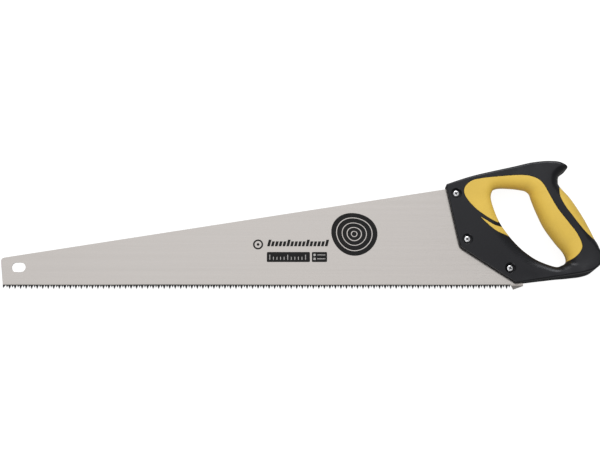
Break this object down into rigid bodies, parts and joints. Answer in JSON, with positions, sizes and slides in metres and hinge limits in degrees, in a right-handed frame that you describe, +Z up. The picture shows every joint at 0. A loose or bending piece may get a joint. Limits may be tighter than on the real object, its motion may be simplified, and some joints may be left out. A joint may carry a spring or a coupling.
{
  "type": "hand saw",
  "caption": "Hand saw with a long tapered toothed blade, screwed into a closed pistol-grip handle of black plastic with soft yellow grips.",
  "frame": {"origin": "bottom centre of the bounding box, under the middle of the blade, with the saw lying flat", "axes": "+X from the toe of the blade to the handle, +Y from the teeth towards the back of the blade, +Z up, across the blade"},
  "size_m": [0.6366, 0.1364, 0.0357],
  "materials": {
    "blade_steel": "satin ground, teeth hardened black",
    "black_plastic": "fine moulded texture, satin",
    "yellow_rubber": "soft matt overmould",
    "zinc_plate": "bright zinc plate"
  },
  "bodies": {
    "root": {"blade": "blade_steel", "handle_core": "black_plastic", "front_grip": "yellow_rubber", "palm_grip": "yellow_rubber", "lower_inlay": "yellow_rubber", "screw_top": "zinc_plate", "screw_middle": "zinc_plate", "screw_bottom": "zinc_plate", "sleeve_nut_top": "zinc_plate", "sleeve_nut_middle": "zinc_plate", "sleeve_nut_bottom": "zinc_plate"}
  },
  "joints": []
}
